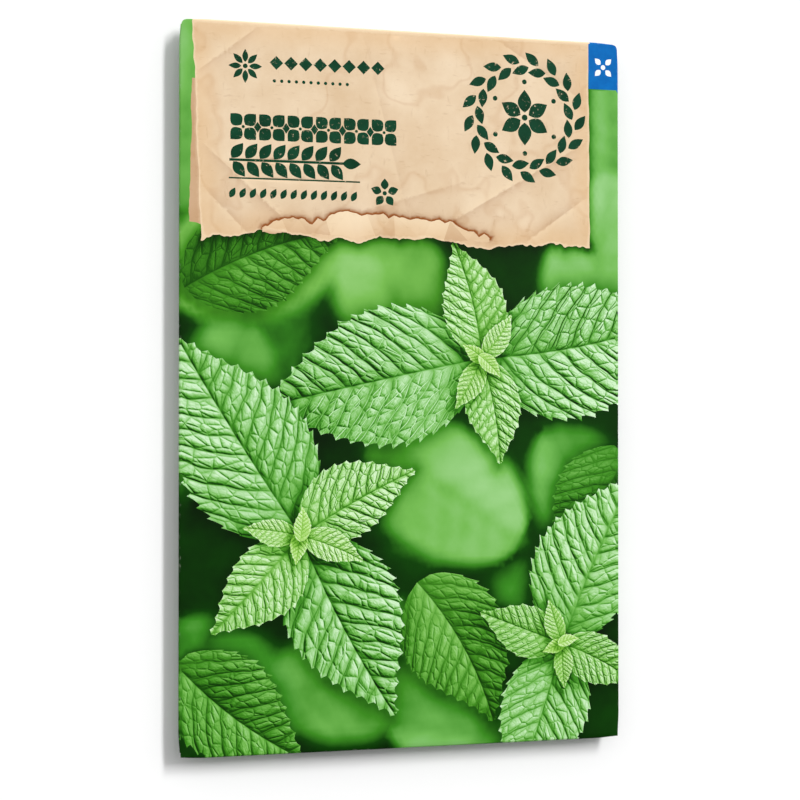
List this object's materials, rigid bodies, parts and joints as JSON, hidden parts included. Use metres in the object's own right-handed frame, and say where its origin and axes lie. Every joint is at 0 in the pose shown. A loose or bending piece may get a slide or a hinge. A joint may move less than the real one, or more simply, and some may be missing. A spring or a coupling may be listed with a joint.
{
  "type": "seed packet",
  "caption": "Closed flat paper seed packet lying face up, folded from one sheet with a glued back seam and end flaps, holding loose seeds.",
  "frame": {"origin": "on the surface that the packet lies on, under the centre of its outline", "axes": "+X to the right of the printed face, +Y towards the packet's top, +Z out of the printed face"},
  "size_m": [0.09, 0.141, 0.0049],
  "materials": {
    "printed_paper": "satin printed paper",
    "dried_glue": "dried paper glue",
    "seed": "dry dark brown seed coat"
  },
  "bodies": {
    "root": {"folded_sheet": "printed_paper", "seam_glue": "dried_glue", "top_flap_glue": "dried_glue", "bottom_flap_glue": "dried_glue", "seeds": "seed"}
  },
  "joints": []
}
